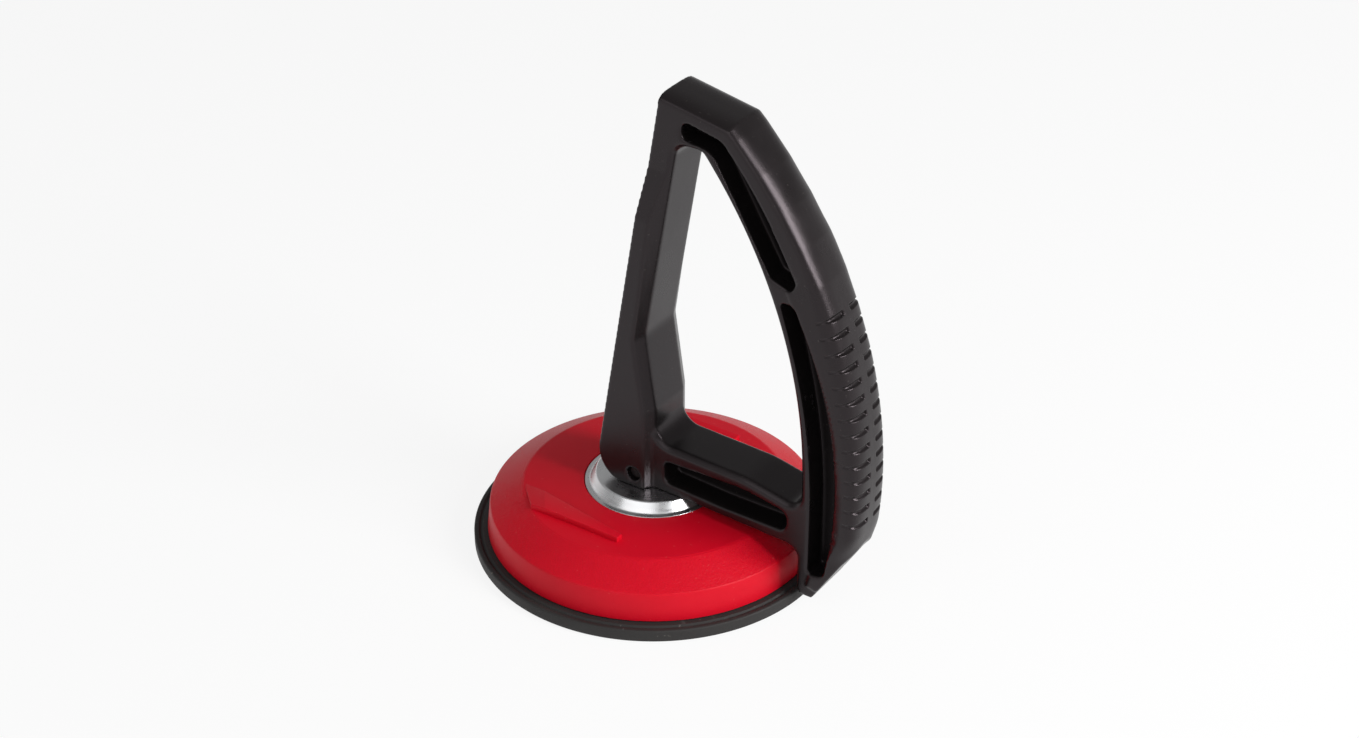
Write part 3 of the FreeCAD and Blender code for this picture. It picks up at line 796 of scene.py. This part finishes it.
# %% fuller shoulders
FRAME_HALF = 11.45
GRIP_HALF = 12.0
WIDENS = (40, 17)
ARC_SAG = (3.6, 10.4)
OVAL_SAG = (4.0, 9.0, 7.0)
DEEPENS = (30, 20)
EASES = (18, -5)
OVAL_POWER = (2.2, 3.6)
SQUARES = (34, 20)
CREST_SINK = 0.7
SINK_FROM = 36
HEEL_ANGLES = (-10.5, -5.5)
TOP_END_X = (-30, -22)
CROWN_BAND = (0.9, 2.6)
CROWN_DEPTHS = (-2, 13)
CROWN_LOWEST = 15
STATIONS = (-16.0, 61)
OVAL_STEPS = 64


def smooth(value, low, high):
    t = np.clip((value - low) / (high - low), 0, 1)
    return t * t * (3 - 2 * t)


def arc_at(y, half, sag):
    """On the solid's arc: share of the way from the crest to the side edge, and depth."""
    y = np.minimum(y, half)
    radius = (half ** 2 + sag ** 2) / (2 * sag)
    share = np.arcsin(y / radius) / np.arcsin(half / radius)
    return share, radius - np.sqrt(np.maximum(radius ** 2 - y ** 2, 0))


def oval_steps(half, sag, power):
    """Squared oval from crest to side edge, as evenly spaced places and depths."""
    turn = np.linspace(0, math.pi / 2, 241)
    place = half * np.sin(turn) ** (2 / power)
    depth = sag * (1 - np.maximum(np.cos(turn), 0) ** (2 / power))
    way = np.concatenate(([0], np.cumsum(np.hypot(np.diff(place), np.diff(depth)))))
    even = np.linspace(0, way[-1], OVAL_STEPS + 1)
    return np.interp(even, way, place), np.interp(even, way, depth)


def read_table(table, row, column):
    """Value between the four nearest entries of a table."""
    r0 = np.clip(row.astype(int), 0, table.shape[0] - 2)
    c0 = np.clip(column.astype(int), 0, table.shape[1] - 2)
    r, c = row - r0, column - c0
    upper = table[r0, c0] * (1 - c) + table[r0, c0 + 1] * c
    lower = table[r0 + 1, c0] * (1 - c) + table[r0 + 1, c0 + 1] * c
    return upper * (1 - r) + lower * r


def eased(angle, angles, first, last):
    """A size that changes from first to last between two angles round the crest."""
    return first + smooth(-angle, -angles[0], -angles[1]) * (last - first)


def crown_at(angle):
    """Half width, depth at the side and squareness of the crown at an angle of the grip."""
    half = eased(angle, WIDENS, FRAME_HALF, GRIP_HALF)
    sag = (eased(angle, DEEPENS, OVAL_SAG[0], OVAL_SAG[1])
           + eased(angle, EASES, 0, OVAL_SAG[2] - OVAL_SAG[1]))
    return half, sag, eased(angle, SQUARES, *OVAL_POWER)


def oval_at(angle, share):
    """On the squared oval: distance from the middle, and depth."""
    stops = np.linspace(STATIONS[0], MITRE_ANGLE, STATIONS[1])
    row = (angle - STATIONS[0]) / (stops[1] - stops[0])
    places, depths = zip(*(oval_steps(*crown_at(stop)) for stop in stops))
    return [read_table(np.array(table), row, share * OVAL_STEPS) for table in (places, depths)]


def fill_shoulders(mesh):
    co = points_of(mesh)
    turn, fall = math.radians(MITRE_ANGLE), math.radians(TOP_FALL)
    corner = np.array([CREST_CENTRE[0] + CREST_RADIUS * math.cos(turn), 0,
                       CREST_CENTRE[1] + CREST_RADIUS * math.sin(turn)])
    mitre = np.array([math.cos(fall) + math.sin(turn), 0, -math.sin(fall) - math.cos(turn)])
    on_top = (co - corner) @ mitre < 0
    above = np.array([math.sin(fall), 0, math.cos(fall)])
    angle, grip_depth = round_crest(co)
    depth = np.where(on_top, (corner - co) @ above, grip_depth)
    station = np.where(on_top, MITRE_ANGLE, np.clip(angle, STATIONS[0], MITRE_ANGLE))
    y = np.abs(co[:, 1])
    half = crown_at(station)[0]
    share, old = arc_at(y, half, eased(station, WIDENS, *ARC_SAG))
    new_y, new = oval_at(station, share)
    sink = CREST_SINK * np.where(on_top, 1, smooth(angle, SINK_FROM, MITRE_ANGLE))
    new = new + sink * (1 - share ** 2) ** 2
    ends = np.where(on_top, smooth(co[:, 0], *TOP_END_X), smooth(angle, *HEEL_ANGLES))
    near = (depth > CROWN_DEPTHS[0]) & (depth < CROWN_DEPTHS[1]) & (co[:, 2] > CROWN_LOWEST)
    hold = np.where(near, (1 - smooth(np.abs(depth - old), *CROWN_BAND)) * ends, 0)
    move = (old - new) * hold
    co[:, 0] += np.where(on_top, above[0], np.cos(np.radians(angle))) * move
    co[:, 2] += np.where(on_top, above[2], np.sin(np.radians(angle))) * move
    co[:, 1] += np.sign(co[:, 1]) * np.where(y < half, new_y - y, 0) * hold
    set_points(mesh, co)
    return float(np.abs(move).max())


print("largest move", round(fill_shoulders(lever.data), 2), "mm")
lever.data.shade_smooth()

# %% [markdown]
# Fourteen grooves on each side of the grip's back give the fingers hold. Each is a
# round-bottomed slot that starts at the side edge, thin and shallow, gets wider and
# deeper as it climbs the shoulder, and ends in a steep little wall beside a plain strip
# along the middle. How far down the shoulder a point lies is taken from its distance from
# the middle and its depth below the crest together.

# %% finger grooves
GROOVES = 14
FIRST_ANGLE = 22.2
LAST_ANGLE = -3.8
GROOVE_DEPTH = 1.15
GROOVE_HALF = 1.25
STRIP_HALF = 2.0
END_WALL = 0.7
SLOPE_SHARE = 0.6
SHALLOWS, SHALLOW_END = (8, 15), 0.75
THINS, THIN_END = (6, 15), 0.5
SLOT_ROUND = 0.7
BACK_DEPTHS = (-3, 7.5)
BACK_FROM_X = 70


def press_grooves(mesh):
    co = points_of(mesh)
    normals = np.empty(len(co) * 3)
    mesh.vertex_normals.foreach_get("vector", normals)
    normals = normals.reshape(-1, 3)
    angle, depth = round_crest(co)
    y = np.abs(co[:, 1])
    pitch = (FIRST_ANGLE - LAST_ANGLE) / (GROOVES - 1)
    slot = np.clip(np.round((FIRST_ANGLE - angle) / pitch), 0, GROOVES - 1)
    along = np.radians(angle - (FIRST_ANGLE - slot * pitch)) * CREST_RADIUS
    down_shoulder = y + SLOPE_SHARE * depth
    climb = smooth(y, STRIP_HALF, STRIP_HALF + END_WALL)
    climb *= 1 - SHALLOW_END * smooth(down_shoulder, *SHALLOWS)
    width = GROOVE_HALF * (1 - THIN_END * smooth(down_shoulder, *THINS))
    shape = np.maximum(1 - (along / width) ** 2, 0) ** SLOT_ROUND
    turn = np.radians(angle)
    facing_out = normals[:, 0] * np.cos(turn) + normals[:, 2] * np.sin(turn)
    on_back = ((depth > BACK_DEPTHS[0]) & (depth < BACK_DEPTHS[1])
               & (co[:, 0] > BACK_FROM_X) & (facing_out > 0.02))
    sunk = GROOVE_DEPTH * shape * climb * on_back
    co -= normals * sunk[:, None]
    set_points(mesh, co)
    return int((sunk > 0.05).sum())


print("grooves pressed into", press_grooves(lever.data), "points")
finish_piece(lever, handle_black, "handle", "handle")

# %% [markdown]
# The small pieces keep their solids, because turned steel and a moulded bush are as plain
# as that. They only get their finishes.

# %% finishes on the small pieces
PLAIN_PIECES = {
    "guide_bush": bush_plastic,
    "pull_stem": stem_steel,
    "insert_plate": zinc_steel,
    "lock_nut": zinc_steel,
    "pivot_pin": pin_steel,
}
for name, material in PLAIN_PIECES.items():
    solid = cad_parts[name]
    for slot in solid.material_slots:
        slot.material = material
    print(name, "has finish", material.name)

# %% [markdown]
# The stage is a pale floor. The camera and the reflections see it glow white, with only a
# small share of the shaded floor mixed in, so it shows the lifter's shadow faintly.

# %% floor
FLOOR_SIZE = 8.0
FLOOR_DROP = 0.2
SHADOW_SHARE = 0.14


def ray_of_view(tree):
    """One for rays from the camera and for mirror-like rays, else zero."""
    path = add(tree, "ShaderNodeLightPath").outputs
    seen = maths(tree, "MAXIMUM", path["Is Camera Ray"], path["Is Glossy Ray"])
    return maths(tree, "MAXIMUM", seen, path["Is Transmission Ray"])


def make_floor():
    material = bpy.data.materials.new("floor_pale")
    material.use_nodes = True
    tree = material.node_tree
    tree.nodes.clear()
    matte = add(tree, "ShaderNodeBsdfDiffuse", {"Color": (0.88, 0.88, 0.88, 1)})
    glow = add(tree, "ShaderNodeEmission", {"Color": (1, 1, 1, 1), "Strength": 1.0})
    share = maths(tree, "MULTIPLY", ray_of_view(tree), 1 - SHADOW_SHARE)
    mixed = add(tree, "ShaderNodeMixShader",
                {0: share, 1: matte.outputs[0], 2: glow.outputs[0]})
    output = add(tree, "ShaderNodeOutputMaterial")
    tree.links.new(mixed.outputs[0], output.inputs["Surface"])
    half = FLOOR_SIZE / 2
    corners = [(-half, -half, 0), (half, -half, 0), (half, half, 0), (-half, half, 0)]
    mesh = bpy.data.meshes.new("floor")
    mesh.from_pydata(corners, [], [(0, 1, 2, 3)])
    mesh.materials.append(material)
    floor = link_mesh("floor", mesh)
    floor.location.z = -FLOOR_DROP * MM
    return floor


floor = make_floor()
print("floor", floor.name)

# %% [markdown]
# The room round the stage is white for the camera. Reflections see white walls that fade
# to a dim ceiling, and matte surfaces get a softer light still. A strong soft lamp on the
# right draws the bright band along the grip's shoulder, and a broad weak one in front
# fills the shade.

# %% room and lamps
ROOM_LIGHT = 0.28
CEILING_LIGHT = 0.30
WALL_TOP_AT = (-0.05, 0.35)
LAMP_AIM = 0.08


def make_room():
    """White for the camera; for reflections, white walls under a dim ceiling."""
    world = bpy.data.worlds.new("white_room")
    bpy.context.scene.world = world
    world.use_nodes = True
    tree = world.node_tree
    tree.nodes.clear()
    path = add(tree, "ShaderNodeLightPath").outputs
    rise = part_of(tree, add(tree, "ShaderNodeTexCoord").outputs["Generated"], "Z")
    walls = spread(tree, rise, *WALL_TOP_AT, 1.0, CEILING_LIGHT)
    mirrored = maths(tree, "MAXIMUM", path["Is Glossy Ray"], path["Is Transmission Ray"])
    soft, seen, white = (
        add(tree, "ShaderNodeBackground", {"Color": (1, 1, 1, 1), "Strength": strength})
        for strength in (ROOM_LIGHT, walls, 1.0))
    inside = add(tree, "ShaderNodeMixShader",
                 {0: mirrored, 1: soft.outputs[0], 2: seen.outputs[0]})
    mixed = add(tree, "ShaderNodeMixShader",
                {0: path["Is Camera Ray"], 1: inside.outputs[0], 2: white.outputs[0]})
    output = add(tree, "ShaderNodeOutputWorld")
    tree.links.new(mixed.outputs[0], output.inputs["Surface"])


def softbox(name, azimuth, elevation, distance, width, height, watts):
    """Area lamp at a direction from the object, facing it."""
    data = bpy.data.lights.new(name, "AREA")
    data.shape = "RECTANGLE"
    data.size = width
    data.size_y = height
    data.energy = watts
    lamp = bpy.data.objects.new(name, data)
    bpy.context.scene.collection.objects.link(lamp)
    out = direction(azimuth, elevation)
    lamp.location = out * distance + Vector((0, 0, LAMP_AIM))
    lamp.rotation_euler = (-out).to_track_quat("-Z", "Y").to_euler()


make_room()
softbox("key_right", 93, 29, 1.4, 0.58, 0.72, 20)
softbox("fill_front", 5, 34, 1.6, 1.6, 1.1, 6.5)
